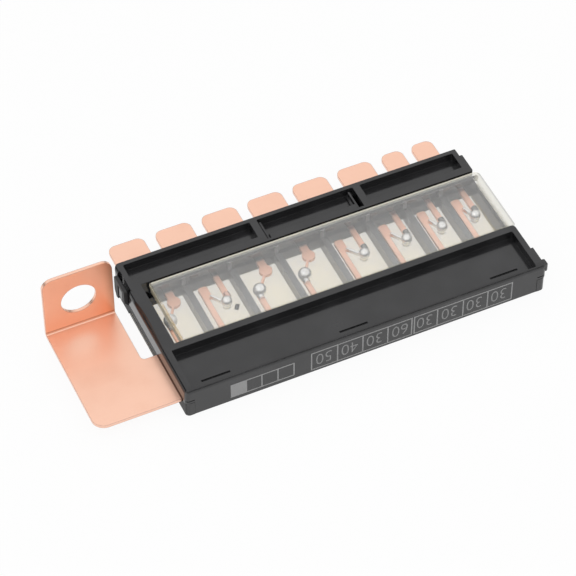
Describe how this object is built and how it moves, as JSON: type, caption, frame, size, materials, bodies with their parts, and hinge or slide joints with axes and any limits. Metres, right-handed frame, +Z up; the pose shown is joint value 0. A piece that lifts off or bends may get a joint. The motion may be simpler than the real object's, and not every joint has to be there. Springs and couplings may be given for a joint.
{
  "type": "fusible link block",
  "caption": "Flat two-part moulded fuse block with clear windows over a stamped copper strip of fusible links, plug-in blades along one side and an upright stud lug at one end.",
  "frame": {"origin": "under the middle of the part's bounding box, on the plane of the housing's base", "axes": "+X along the length, away from the supply lug; +Y across the housing towards the blades, along the stud; +Z up from the base"},
  "size_m": [0.1104, 0.05, 0.0212],
  "materials": {
    "upper_shell": "satin black moulding",
    "lower_shell": "satin black moulding",
    "clear_window": "clear, slightly milky",
    "copper": "bare stamped copper",
    "print": "thin grey pad print",
    "tin": "dull cast tin"
  },
  "bodies": {
    "root": {"upper_housing": "upper_shell", "lower_housing": "lower_shell", "upper_window": "clear_window", "lower_window": "clear_window", "copper_strip": "copper", "tin_bead_1": "tin", "tin_bead_2": "tin", "tin_bead_3": "tin", "tin_bead_4": "tin", "tin_bead_5": "tin", "tin_bead_6": "tin", "tin_bead_7": "tin", "tin_bead_8": "tin"}
  },
  "joints": []
}
